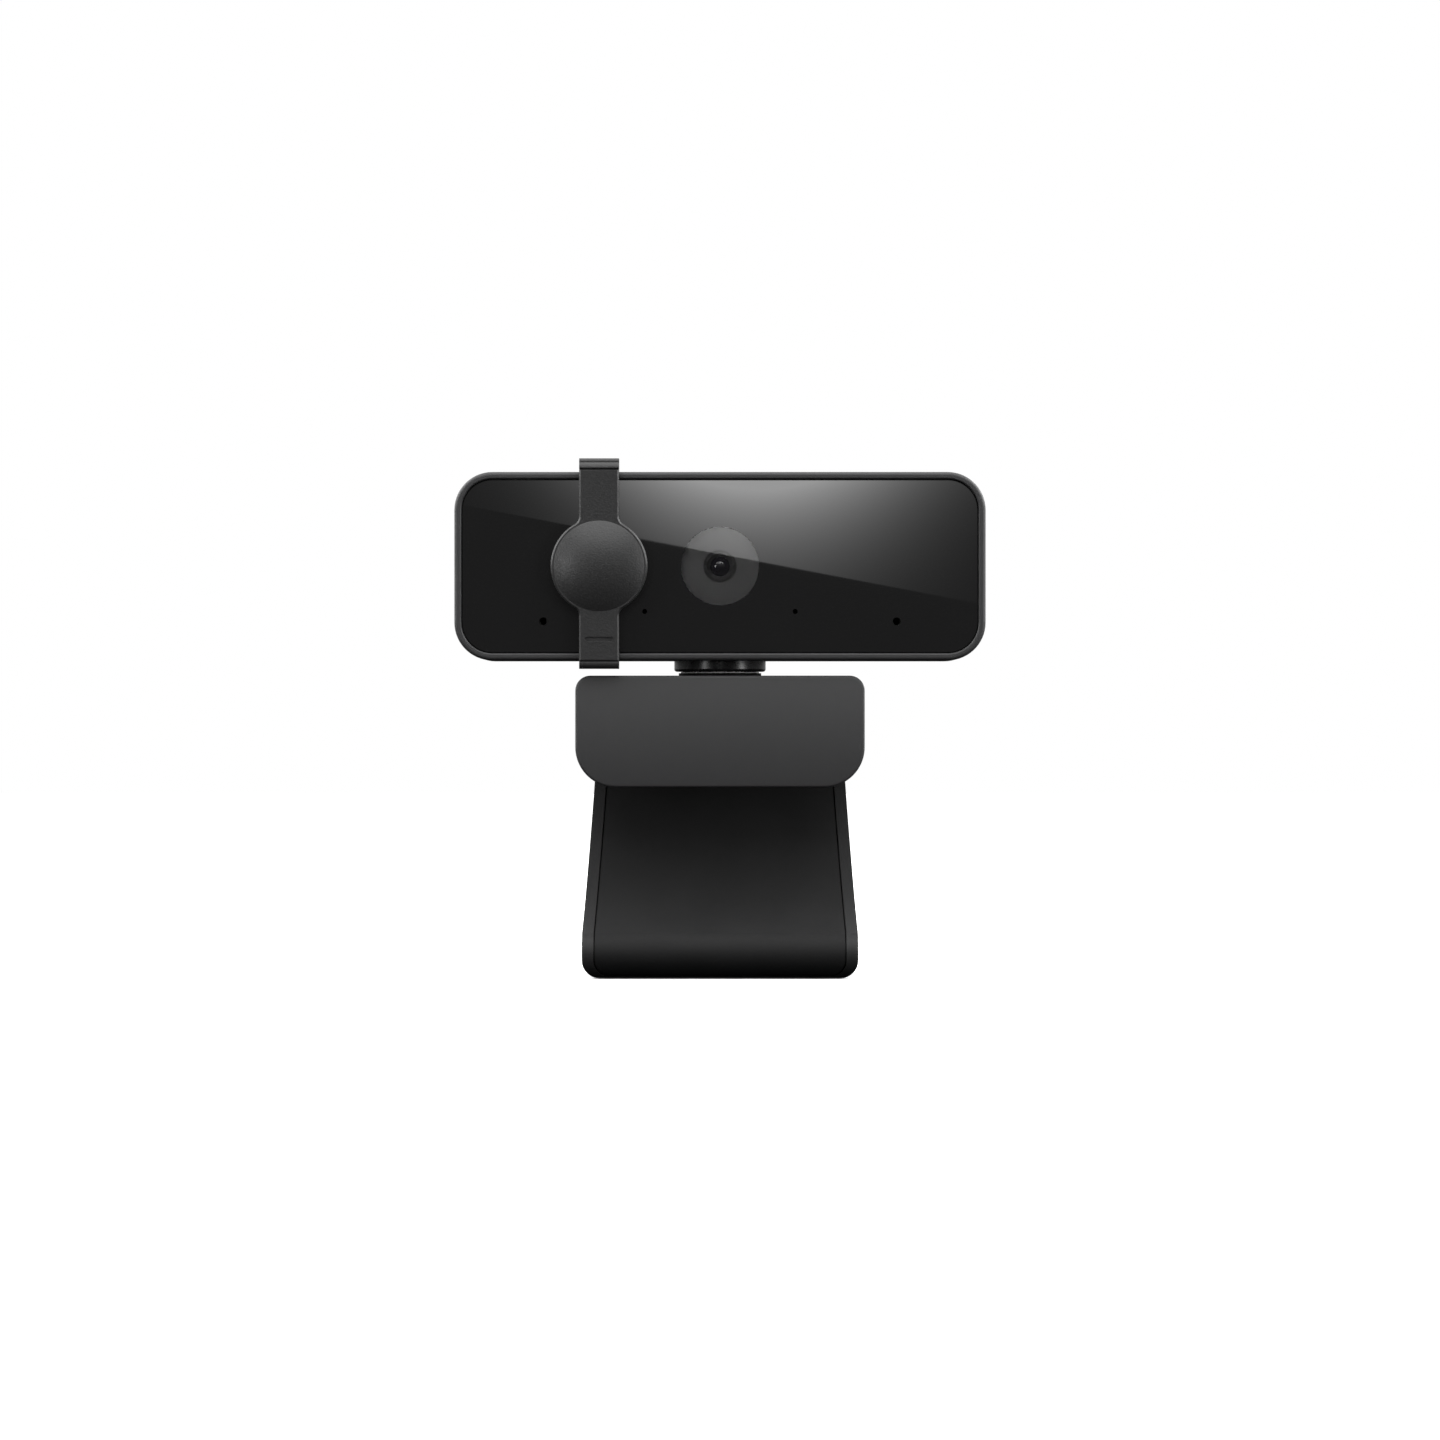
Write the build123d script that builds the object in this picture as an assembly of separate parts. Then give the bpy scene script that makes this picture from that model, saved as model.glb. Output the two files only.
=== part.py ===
from build123d import *
from math import cos, radians, sin, sqrt
import os

# Bar-shaped webcam with a slide-on privacy cover, a swivel neck and a folding monitor clip that
# is also its stand. Millimetres, +Z up. The lens looks along -Y and +X is to the viewer's right
# from in front. The origin is on the table, straight under the pan axis.

# ---- Head -------------------------------------------------------------------------------------
HEAD_W = 95.0
HEAD_H = 33.7
HEAD_R = 6.8
HEAD_Z = 73.85  # height of the lens axis
FRONT_Y = -13.0
BACK_Y = 12.0
SEAM_Y = -5.0  # where the front shell meets the rear shell
WALL = 1.6
HEAD_BOTTOM = HEAD_Z - HEAD_H / 2
HEAD_TOP = HEAD_Z + HEAD_H / 2
RIM = 1.25  # width of the rim around the glass
RIM_ROUND = 0.6  # its outer edge
RIM_BREAK = 0.2  # its inner edge
GLASS_T = 1.0
GLASS_GAP = 0.15  # all round the glass, inside the rim
GLASS_FRONT = FRONT_Y + 0.2
GLASS_BACK = GLASS_FRONT + GLASS_T
TAPE_T = 0.2
FACE_FRONT = GLASS_BACK + TAPE_T  # the front shell's wall behind the glass
FACE_BACK = FACE_FRONT + 1.2
TONGUE = 0.7  # thickness of the lip that locates one shell in the other
TONGUE_LONG = 1.4
TONGUE_ROOT = 2.0  # how far it reaches back into its own shell
FIT = 0.1  # ordinary clearance between moulded pieces
SNUG = 0.05  # clearance of a close fit
GLAND_R = 3.6
GLAND_Z = -6.5  # from the lens axis
CABLE_R = 2.0

# ---- Circuit board ----------------------------------------------------------------------------
BOARD_W = 84.0
BOARD_H = 24.0
BOARD_T = 1.2
BOARD_FRONT = -1.5
BOARD_BACK = BOARD_FRONT + BOARD_T
BOARD_SCREWS = [(x, z) for x in (-39.0, 39.0) for z in (-8.5, 8.5)]  # from the lens axis
CASE_SCREWS = [(x, z) for x in (-24.0, 24.0) for z in (-11.0, 11.0)]
BOSS_R = 2.6
BOARD_SCREW_R = 0.8
CASE_SCREW_R = 1.0
RECESS_R = 2.1  # round the case screws' heads
RECESS_DEEP = 4.0
CHIPS = {  # on the board's back: x and z from the lens axis, width, height, thickness
    "processor_chip": (12.5, 1.5, 9.0, 9.0, 0.9),
    "memory_chip": (-11.0, 3.0, 5.0, 4.0, 0.8),
    "clock_crystal": (-19.0, 1.5, 3.2, 2.5, 0.7),
}
CAPACITOR = (1.6, 0.8, 0.8)  # width, height, thickness
CAPACITORS = [(x, z) for z in (8.0, -5.5) for x in (-14.0, -10.5, -7.0, 4.0, 7.5, 11.0)]
HEADER_X = 31.0
HEADER_Z = -3.0
MIC_PORTS = [(-31.6, -9.9), (31.6, -9.9)]
LED_PORTS = [(-13.45, -8.1), (13.45, -8.1)]
MIC_PORT_R = 0.75  # in the glass
MIC_WALL_R = 1.0  # in the wall behind it
LED_PORT_R = 0.45
LED_WALL_R = 0.9
LED_FRONT = BOARD_FRONT - 0.6
MIC_BORE_R = 0.6  # through the rubber boot
CAPSULE_R = 2.0
CAPSULE_FRONT = -8.8
FELT_T = 0.3
BOOT_R = 2.8
BOOT_BACK = -7.0

# ---- Lens -------------------------------------------------------------------------------------
SHROUD_R = 8.2
LENS_HOLE_R = SHROUD_R + 0.4
BARREL_R = 2.85
BARREL_FRONT = -11.1
THREAD_R = 2.75
HOLDER_FRONT = -8.2
LENS_R = 1.78
LENS_BORE_R = 1.8
FRONT_LENS = (-10.5, -9.2)  # its front and back
REAR_LENS = (-6.6, -5.2)
FILTER_SIZE = 6.4
FILTER_FRONT = -3.2
FILTER_BACK = -2.9

# ---- Privacy cover ----------------------------------------------------------------------------
COVER_X = -21.6  # where it is parked, clear of the lens
STRAP_W = 7.1
STRAP_BACK = FRONT_Y - 0.15
STRAP_FRONT = STRAP_BACK - 1.35
COVER_R = 8.65
DOME_R = 8.1
DOME_RISE = 1.7
DOME_FRONT = STRAP_FRONT - DOME_RISE
COVER_TOP = 93.1
COVER_BOTTOM = 55.5
HOOK_BACK = -9.4
HOOK_GAP = 0.15  # between the hooks and the head
HOOK_STEP = 0.3  # the hooks' fronts lie this far behind the strap's
BEAD_HALF = 0.5
BEAD_TIP_HALF = 0.3
BEAD_DEEP = 0.5
RAIL_Y = -10.2  # grooves along the head's top and bottom, which the hooks' beads run in
RAIL_W = 1.4
RAIL_DEEP = 0.5
RAIL_LONG = 84.0
COVER_BREAK = 0.28  # bevel along the strap and round the disc

# ---- Swivel neck ------------------------------------------------------------------------------
COLLAR_R = 8.25
COLLAR_BOTTOM = 55.05
NECK_R = 7.45
ARM_TOP = 54.1
WASHER_T = 0.2
STUD_R = 2.5
BUSH_R = 3.5
SPIGOT_R = 4.6
SPIGOT_TOP = 59.6
RUNNING = 0.06  # radial clearance of a shaft that turns
NECK_TOP = COLLAR_BOTTOM - 0.05 - WASHER_T
PLATE_LOW = SPIGOT_TOP + 0.05
PLATE_HIGH = PLATE_LOW + 0.5
WAVE_HIGH = PLATE_HIGH + 0.6
NUT_HIGH = WAVE_HIGH + 1.7
STUD_SEAT = 52.2  # underside of the stud's head bears here, inside the arm
STUD_HEAD_R = 4.2
STUD_HEAD_T = 1.8

# ---- Clip -------------------------------------------------------------------------------------
LIP_W = 51.8
LIP_TOP = 54.3
LIP_BOTTOM = 34.3
LIP_T = 2.8
LIP_FRONT = -12.2
LIP_BACK = LIP_FRONT + LIP_T
LIP_ROUND = 0.4
LIP_CROWN_R = 70.0  # the lip's front bulges gently from top to bottom
EDGE_BREAK = 0.3
ARM_W = 40.0
ARM_BOTTOM = 49.8
ARM_CORNER_R = 1.5
KNUCKLE_R = 4.2
HINGE_Y = -DOME_FRONT - KNUCKLE_R  # the hinge reaches as far back as the cover does forward
HINGE_Z = 49.8
KNUCKLE_HALF = 13.5  # half the width of the clip's own knuckle
PIN_R = 1.5
SLEEVE_R = 2.4
SLEEVE_SPANS = [(-KNUCKLE_HALF, -4.0), (4.0, KNUCKLE_HALF)]
SWING_GAP = 0.6  # round the knuckles, for pieces that swing past them
LIP_PAD_T = 1.0
LIP_PAD_Z = 42.6
ARM_PAD_T = 0.8

# ---- Leg --------------------------------------------------------------------------------------
LEG_TOP_W = 42.9
LEG_FOOT_W = 49.4
LEG_T = 4.0
LEG_FRONT_Y = 10.0  # front face where the leg still hangs straight down
LEG_BEND_Z = 43.0  # where it starts to sweep forward
SWEEP = 65.0  # degrees that it turns through
FOOT_CORNER_R = 3.3  # the two lower corners seen from in front
PAD_PROUD = 0.1  # the rubber feet stand this far out of the foot
NOSE_R = 4.3
FOOT_T = 3.6
FOOT_TOP = PAD_PROUD + FOOT_T
HEEL_Y = -DOME_FRONT
WEB_R = 3.0  # hollow between the leg's back and the foot
EAR_IN = 14.0
STRIP = 2.1  # the frame that shows each side of the soft panel
SEAM = 0.25
PANEL_T = 1.0
RECESS_CORNER_R = 3.0
RECESS_LOW = PAD_PROUD + 0.3
PANEL_TOP = 44.0
PANEL_END = 255.0  # degrees round the nose at which the panel stops
PIN_HALF = 20.2  # half the length of the hinge pin
CAP_R = 3.0
FOOT_PAD_R = 3.0
FOOT_PAD_SUNK = 0.7
FOOT_PADS = [(x, y) for x in (-16.5, 16.5) for y in (-5.0, 10.5)]
BEND_R = (LEG_BEND_Z - NOSE_R - PAD_PROUD) / sin(radians(SWEEP)) - NOSE_R
BEND_Y = LEG_FRONT_Y - BEND_R
NOSE_Y = BEND_Y + (BEND_R + NOSE_R) * cos(radians(SWEEP))
NOSE_Z = PAD_PROUD + NOSE_R
CREST_Z = NOSE_Z + NOSE_R * sin(radians(SWEEP))

# ---- Tripod socket, 1/4-20 UNC ----------------------------------------------------------------
SOCKET_R = 2.55
INSERT_R = 4.0
INSERT_LONG = 6.0
SOCKET_BOSS_R = 6.0


def slab(sketch, y_front, y_back):
    """A front-view sketch (X, Z) made solid between two depths."""
    return extrude(Plane.XZ.offset(-y_back) * sketch, amount=y_back - y_front)


def side(sketch, x_low, x_high):
    """A side-view sketch (Y, Z) made solid between two places along X."""
    return extrude(Plane.YZ.offset(x_low) * sketch, amount=x_high - x_low)


def rod_x(radius, x_low, x_high, y, z):
    return side(Pos(y, z) * Circle(radius), x_low, x_high)


def rod_y(radius, y_front, y_back, x=0.0, z=0.0):
    """A rod along Y. x and z count from the lens axis."""
    return slab(Pos(x, HEAD_Z + z) * Circle(radius), y_front, y_back)


def rod_z(radius, z_low, z_high, x=0.0, y=0.0):
    return extrude(Plane.XY.offset(z_low) * Pos(x, y) * Circle(radius), amount=z_high - z_low)


def block(x, y, z):
    """A box from three (low, high) pairs."""
    middle = [(low + high) / 2 for low, high in (x, y, z)]
    size = [high - low for low, high in (x, y, z)]
    return Pos(*middle) * Box(*size)


def chip(x, z, width, height, y_front, y_back):
    """A box on the circuit board. x and z count from the lens axis."""
    return slab(Pos(x, HEAD_Z + z) * Rectangle(width, height), y_front, y_back)


def head_slab(inset, y_front, y_back):
    """The head's outline, inset on every side, made solid between two depths."""
    outline = RectangleRounded(HEAD_W - 2 * inset, HEAD_H - 2 * inset, HEAD_R - inset)
    return slab(Pos(0, HEAD_Z) * outline, y_front, y_back)


def at_each(places, piece):
    """The same piece made at each (x, z) place, as one group."""
    return [piece(x, z) for x, z in places]


# ---- Head pieces ------------------------------------------------------------------------------
def front_shell():
    """Rim, wall behind the glass, side walls to the seam, bosses and the upper part of the rails."""
    shell = head_slab(0, FRONT_Y, SEAM_Y)
    shell = fillet(shell.faces().sort_by(Axis.Y)[0].edges(), RIM_ROUND)
    shell -= head_slab(RIM, FRONT_Y, FACE_FRONT)
    shell = chamfer(shell.faces().sort_by(Axis.Y)[0].inner_wires().edges(), RIM_BREAK)
    shell -= head_slab(WALL, FACE_BACK, SEAM_Y)
    seat = WALL - TONGUE
    tongue = head_slab(seat, SEAM_Y - TONGUE_ROOT, SEAM_Y + TONGUE_LONG)
    shell += tongue - head_slab(WALL, FACE_BACK, SEAM_Y + TONGUE_LONG)
    neck_half = SPIGOT_R + 3.0
    shell -= block(
        (-neck_half, neck_half),
        (SEAM_Y, SEAM_Y + TONGUE_LONG),
        (HEAD_BOTTOM, HEAD_BOTTOM + 2 * WALL),
    )
    for x, z in CASE_SCREWS:
        shell += rod_y(BOSS_R, FACE_BACK, SEAM_Y, x, z)
        shell -= rod_y(CASE_SCREW_R, FACE_BACK, SEAM_Y, x, z)
    for x, z in BOARD_SCREWS:
        shell += rod_y(BOSS_R, FACE_BACK, BOARD_FRONT, x, z)
        shell -= rod_y(BOARD_SCREW_R, FACE_BACK, BOARD_FRONT, x, z)
    shell -= rod_y(LENS_HOLE_R, FACE_FRONT, FACE_BACK)
    for x, z in MIC_PORTS:
        shell -= rod_y(MIC_WALL_R, FACE_FRONT, FACE_BACK, x, z)
    for x, z in LED_PORTS:
        shell -= rod_y(LED_WALL_R, FACE_FRONT, FACE_BACK, x, z)
    rail_x = (-RAIL_LONG / 2, RAIL_LONG / 2)
    rail_y = (RAIL_Y - RAIL_W / 2, RAIL_Y + RAIL_W / 2)
    shell -= block(rail_x, rail_y, (HEAD_TOP - RAIL_DEEP, HEAD_TOP))
    shell -= block(rail_x, rail_y, (HEAD_BOTTOM, HEAD_BOTTOM + RAIL_DEEP))
    return shell


def rear_shell():
    """Back of the case: rounded rear edge, screw tubes, neck hole and cable hole."""
    edge_r = 5.0
    inner_r = 3.6
    shell = head_slab(0, SEAM_Y, BACK_Y)
    shell = fillet(shell.faces().sort_by(Axis.Y)[-1].edges(), edge_r)
    outside = shell
    hollow = head_slab(WALL, SEAM_Y, BACK_Y - WALL)
    hollow = fillet(hollow.faces().sort_by(Axis.Y)[-1].edges(), inner_r)
    shell = shell - hollow
    shell -= head_slab(WALL - TONGUE - FIT, SEAM_Y, SEAM_Y + TONGUE_LONG + FIT)
    for x, z in CASE_SCREWS:
        shell += rod_y(BOSS_R, SEAM_Y, BACK_Y, x, z) & outside
        shell -= rod_y(CASE_SCREW_R + FIT, SEAM_Y, BACK_Y, x, z)
        shell -= rod_y(RECESS_R, BACK_Y - RECESS_DEEP, BACK_Y, x, z)
    shell += rod_z(SPIGOT_R + 2.4, HEAD_BOTTOM, SPIGOT_TOP) & outside
    shell -= rod_z(SPIGOT_R, HEAD_BOTTOM, SPIGOT_TOP)
    shell -= rod_y(GLAND_R, 0, BACK_Y, 0, GLAND_Z)
    return shell


def front_glass():
    """Cover glass over the whole front, drilled for the microphones and the indicators."""
    plate = head_slab(RIM + GLASS_GAP, GLASS_FRONT, GLASS_BACK)
    plate = chamfer(plate.faces().sort_by(Axis.Y)[0].edges(), 0.12)
    for x, z in MIC_PORTS:
        plate -= rod_y(MIC_PORT_R, GLASS_FRONT, GLASS_BACK, x, z)
    for x, z in LED_PORTS:
        plate -= rod_y(LED_PORT_R, GLASS_FRONT, GLASS_BACK, x, z)
    return plate


def glass_tape():
    """Adhesive frame that holds the glass on the front shell."""
    width = 2.0
    outer = RIM + GLASS_GAP + FIT
    return head_slab(outer, GLASS_BACK, FACE_FRONT) - head_slab(outer + width, GLASS_BACK, FACE_FRONT)


def cable_gland():
    """Rubber bush in the rear shell that the cable passes through."""
    flange_r = 4.8
    flange_t = 0.7
    inside = 1.4
    bush = rod_y(GLAND_R, BACK_Y - WALL - inside, BACK_Y, 0, GLAND_Z)
    bush += rod_y(flange_r, BACK_Y - WALL - inside, BACK_Y - WALL - 0.05, 0, GLAND_Z)
    flange = rod_y(flange_r, BACK_Y, BACK_Y + flange_t, 0, GLAND_Z)
    bush += fillet(flange.faces().sort_by(Axis.Y)[-1].edges(), 0.4)
    return bush - rod_y(CABLE_R, BACK_Y - WALL - inside, BACK_Y + flange_t, 0, GLAND_Z)


def main_board():
    notch_r = BOSS_R + 0.5
    notch_half = 7.0
    board = slab(Pos(0, HEAD_Z) * RectangleRounded(BOARD_W, BOARD_H, 1.5), BOARD_FRONT, BOARD_BACK)
    for x, z in CASE_SCREWS:
        board -= rod_y(notch_r, BOARD_FRONT, BOARD_BACK, x, z)
    for x, z in BOARD_SCREWS:
        board -= rod_y(BOARD_SCREW_R + FIT, BOARD_FRONT, BOARD_BACK, x, z)
    over_nut = -9.0
    board -= block(
        (-notch_half, notch_half),
        (BOARD_FRONT, BOARD_BACK),
        (HEAD_BOTTOM, HEAD_Z + over_nut),
    )
    return board


def lens_holder():
    """Square foot on the board with a threaded tube for the barrel."""
    foot = 11.0
    foot_front = BOARD_FRONT - 2.2
    tube_r = 4.3
    holder = chip(0, 0, foot, foot, foot_front, BOARD_FRONT)
    holder += rod_y(tube_r, HOLDER_FRONT, foot_front)
    holder -= rod_y(THREAD_R, HOLDER_FRONT, FILTER_FRONT)
    holder -= chip(0, 0, FILTER_SIZE + 0.2, FILTER_SIZE + 0.2, FILTER_FRONT, FILTER_BACK)
    holder -= chip(0, 0, FILTER_SIZE + 1.0, FILTER_SIZE + 1.0, FILTER_BACK, BOARD_FRONT)
    return holder


def ir_filter():
    return chip(0, 0, FILTER_SIZE, FILTER_SIZE, FILTER_FRONT, FILTER_BACK)


def image_sensor():
    thick = 0.9
    return chip(0, 0, 6.4, 5.4, BOARD_FRONT - thick, BOARD_FRONT)


def lens_barrel():
    """Threaded barrel with a stepped front: rim, dark groove and a cone down to the lens."""
    groove_out = 2.65
    cone_out = 2.5
    cone_deep = 0.8
    back = -4.2
    barrel = rod_y(THREAD_R, HOLDER_FRONT, back)
    barrel += rod_y(BARREL_R, BARREL_FRONT, HOLDER_FRONT)
    barrel -= rod_y(LENS_BORE_R, BARREL_FRONT, back)
    groove_back = BARREL_FRONT + 0.45
    barrel -= rod_y(groove_out, BARREL_FRONT, groove_back) - rod_y(cone_out, BARREL_FRONT, groove_back)
    cone = loft(
        [
            Plane.XZ.offset(-BARREL_FRONT) * Pos(0, HEAD_Z) * Circle(cone_out - 0.12),
            Plane.XZ.offset(-BARREL_FRONT - cone_deep) * Pos(0, HEAD_Z) * Circle(LENS_BORE_R),
        ]
    )
    return barrel - cone


def lens_element(front, back, curve_r):
    """A lens with a domed front and a flat back."""
    ball = Pos(0, front + curve_r, HEAD_Z) * Sphere(curve_r)
    return rod_y(LENS_R, front, back) & ball


def front_lens():
    return lens_element(*FRONT_LENS, curve_r=2.6)


def rear_lens():
    return lens_element(*REAR_LENS, curve_r=3.4)


def lens_spacer():
    front, back = FRONT_LENS[1], REAR_LENS[0]
    stop_r = 1.2
    return rod_y(LENS_R, front, back) - rod_y(stop_r, front, back)


def lens_shroud():
    """Soft shroud between the lens and the glass: a disc that shows through the clear window."""
    disc_back = FACE_FRONT + 0.7
    sleeve_r = 5.4
    sleeve_in = 4.45
    sleeve_back = -5.5
    shroud = rod_y(SHROUD_R, FACE_FRONT, disc_back)
    shroud += rod_y(sleeve_r, FACE_FRONT, sleeve_back)
    shroud -= rod_y(sleeve_in, disc_back, sleeve_back)
    return shroud - rod_y(BARREL_R + 0.12, FACE_FRONT, disc_back)


def mic_boot(x, z):
    """Rubber boot that seals a microphone to its hole."""
    boot = rod_y(BOOT_R, FACE_BACK, BOOT_BACK, x, z)
    boot += rod_y(MIC_WALL_R - SNUG, FACE_FRONT + SNUG, FACE_BACK, x, z)
    boot -= rod_y(CAPSULE_R + SNUG, CAPSULE_FRONT - FELT_T - SNUG, BOOT_BACK, x, z)
    return boot - rod_y(MIC_BORE_R, FACE_FRONT, CAPSULE_FRONT, x, z)


def mic_capsule(x, z):
    return rod_y(CAPSULE_R, CAPSULE_FRONT, BOOT_BACK - FIT, x, z)


def mic_felt(x, z):
    """Felt disc that keeps dust out of a microphone."""
    return rod_y(CAPSULE_R - FIT, CAPSULE_FRONT - FELT_T, CAPSULE_FRONT, x, z)


def light_pipe(x, z):
    """Clear rod that carries an indicator's light to its hole, with a collar behind the wall."""
    collar_r = 1.4
    collar_t = 0.8
    pipe = rod_y(LED_WALL_R - FIT, FACE_FRONT + SNUG, LED_FRONT - 2 * FIT, x, z)
    return pipe + rod_y(collar_r, FACE_BACK, FACE_BACK + collar_t, x, z)


def indicator_led(x, z):
    return chip(x, z, 1.6, 0.8, LED_FRONT, BOARD_FRONT)


def board_chip(name):
    x, z, width, height, thick = CHIPS[name]
    return chip(x, z, width, height, BOARD_BACK, BOARD_BACK + thick)


def cable_header():
    """Socket on the board for the cable's inner leads."""
    width = 9.0
    height = 4.4
    deep = 4.6
    wall = 0.7
    floor = BOARD_BACK + 1.2
    back = BOARD_BACK + deep
    header = chip(HEADER_X, HEADER_Z, width, height, BOARD_BACK, back)
    return header - chip(HEADER_X, HEADER_Z, width - 2 * wall, height - 2 * wall, floor, back)


def chip_capacitors():
    """Two rows of small capacitors on the board's back."""
    width, height, thick = CAPACITOR
    return at_each(
        CAPACITORS, lambda x, z: chip(x, z, width, height, BOARD_BACK, BOARD_BACK + thick)
    )


def screw(x, z, shank_r, seat, length, head_r, head_t):
    """A cross-head screw driven from behind."""
    body = rod_y(shank_r, seat - length, seat, x, z)
    body += rod_y(head_r, seat, seat + head_t, x, z)
    slot = 0.5
    reach = 1.4 * head_r
    for width, height in ((slot, reach), (reach, slot)):
        body -= chip(x, z, width, height, seat + 0.5 * head_t, seat + head_t)
    return body


def board_screws():
    return at_each(
        BOARD_SCREWS,
        lambda x, z: screw(x, z, BOARD_SCREW_R, BOARD_BACK, length=6.0, head_r=1.6, head_t=1.0),
    )


def case_screws():
    seat = BACK_Y - RECESS_DEEP
    return at_each(
        CASE_SCREWS,
        lambda x, z: screw(x, z, CASE_SCREW_R, seat, length=16.0, head_r=1.9, head_t=1.3),
    )


# ---- Swivel neck pieces -----------------------------------------------------------------------
def swivel_collar():
    """Disc under the head, pressed into the rear shell by its spigot."""
    disc = rod_z(COLLAR_R, COLLAR_BOTTOM, HEAD_BOTTOM)
    disc = fillet(disc.faces().sort_by(Axis.Z)[0].edges(), 0.5)
    disc += rod_z(SPIGOT_R, HEAD_BOTTOM, SPIGOT_TOP)
    return disc - rod_z(BUSH_R, COLLAR_BOTTOM, SPIGOT_TOP)


def pivot_bush():
    bush = rod_z(BUSH_R, COLLAR_BOTTOM, SPIGOT_TOP)
    return bush - rod_z(STUD_R + RUNNING, COLLAR_BOTTOM, SPIGOT_TOP)


def ring_z(outer, inner, z_low, z_high):
    return rod_z(outer, z_low, z_high) - rod_z(inner, z_low, z_high)


def swivel_base():
    disc = rod_z(NECK_R, ARM_TOP, NECK_TOP)
    return disc - rod_z(STUD_R, ARM_TOP, NECK_TOP)


def friction_washer():
    return ring_z(NECK_R - 0.4, STUD_R + FIT, NECK_TOP, NECK_TOP + WASHER_T)


def pressure_washer():
    return ring_z(SPIGOT_R + 1.6, STUD_R, PLATE_LOW, PLATE_HIGH)


def wave_washer():
    return ring_z(SPIGOT_R, STUD_R + FIT, PLATE_HIGH, WAVE_HIGH)


def pivot_nut():
    """Hexagonal lock nut, 7 mm across its flats."""
    across = 7.0
    hexagon = RegularPolygon(across / 2, 6, major_radius=False)
    nut = extrude(Plane.XY.offset(WAVE_HIGH) * hexagon, amount=NUT_HIGH - WAVE_HIGH)
    return nut - rod_z(STUD_R, WAVE_HIGH, NUT_HIGH)


def pivot_stud():
    """Shouldered stud, put in from under the arm. The head turns about it."""
    slot_w = 0.9
    slot_deep = 0.7
    past_nut = 0.3
    head_low = STUD_SEAT - STUD_HEAD_T
    stud = rod_z(STUD_HEAD_R, head_low, STUD_SEAT)
    stud += rod_z(STUD_R, STUD_SEAT, NUT_HIGH + past_nut)
    return stud - Pos(0, 0, head_low) * Box(1.4 * STUD_HEAD_R, slot_w, 2 * slot_deep)


# ---- Clip pieces ------------------------------------------------------------------------------
def lip_outline():
    """The front plate seen from in front: small upper corners, larger lower ones."""
    upper_r = 2.7
    lower_r = 7.2
    plate = Pos(0, (LIP_TOP + LIP_BOTTOM) / 2) * Rectangle(LIP_W, LIP_TOP - LIP_BOTTOM)
    plate = fillet(plate.vertices().group_by(Axis.Y)[0], lower_r)
    return fillet(plate.vertices().group_by(Axis.Y)[-1], upper_r)


def clip_bracket():
    """Front lip, arm over the screen's top edge, and the rear knuckle, moulded as one."""
    arm_back = HINGE_Y - KNUCKLE_R - SWING_GAP
    plate = slab(lip_outline(), LIP_FRONT, LIP_BACK)
    plate &= rod_x(
        LIP_CROWN_R, -LIP_W, LIP_W, LIP_FRONT + LIP_CROWN_R, (LIP_TOP + LIP_BOTTOM) / 2
    )
    plate = fillet(plate.faces().sort_by(Axis.Y)[0].edges(), LIP_ROUND)
    plate = chamfer(plate.faces().sort_by(Axis.Y)[-1].edges(), EDGE_BREAK)
    arm = block((-ARM_W / 2, ARM_W / 2), (LIP_BACK - 1, arm_back), (ARM_BOTTOM, ARM_TOP))
    arm = fillet(arm.edges().filter_by(Axis.Z).group_by(Axis.Y)[-1], ARM_CORNER_R)
    arm = chamfer(arm.faces().sort_by(Axis.Z)[-1].edges(), EDGE_BREAK)
    neck_top = ARM_TOP - EDGE_BREAK
    neck = block((-KNUCKLE_HALF, KNUCKLE_HALF), (arm_back - 1, HINGE_Y), (ARM_BOTTOM, neck_top))
    bracket = plate + arm + neck
    bracket += rod_x(KNUCKLE_R, -KNUCKLE_HALF, KNUCKLE_HALF, HINGE_Y, HINGE_Z)
    bracket -= rod_x(PIN_R + 0.2, -KNUCKLE_HALF, KNUCKLE_HALF, HINGE_Y, HINGE_Z)
    for low, high in SLEEVE_SPANS:
        bracket -= rod_x(SLEEVE_R, low, high, HINGE_Y, HINGE_Z)
    bracket -= rod_z(STUD_R, ARM_BOTTOM, ARM_TOP)
    return bracket - rod_z(STUD_HEAD_R + FIT, ARM_BOTTOM, STUD_SEAT)


def friction_sleeves():
    """Brass sleeves pressed into the clip's knuckle, which turn stiffly on the hinge pin."""
    return [
        rod_x(SLEEVE_R, low, high, HINGE_Y, HINGE_Z)
        - rod_x(PIN_R + RUNNING, low, high, HINGE_Y, HINGE_Z)
        for low, high in SLEEVE_SPANS
    ]


def lip_pad():
    """Rubber pad on the back of the lip, which bears on the screen's front edge."""
    width = 38.0
    height = 11.6
    outline = Pos(0, LIP_PAD_Z) * RectangleRounded(width, height, 2.0)
    pad = slab(outline, LIP_BACK, LIP_BACK + LIP_PAD_T)
    return fillet(pad.faces().sort_by(Axis.Y)[-1].edges(), 0.3)


def arm_pad():
    """Rubber pad under the arm, which rests on the screen's top edge and hides the stud."""
    width = 34.0
    deep = 13.0
    middle_y = -0.6
    outline = Pos(0, middle_y) * RectangleRounded(width, deep, 1.5)
    pad = extrude(Plane.XY.offset(ARM_BOTTOM - ARM_PAD_T) * outline, amount=ARM_PAD_T)
    return fillet(pad.faces().sort_by(Axis.Z)[0].edges(), 0.3)


# ---- Leg pieces -------------------------------------------------------------------------------
def on_circle(centre_y, centre_z, radius, degrees):
    """A point in the side view. Degrees run from +Y towards +Z."""
    angle = radians(degrees)
    return (centre_y + radius * cos(angle), centre_z + radius * sin(angle))


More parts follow.
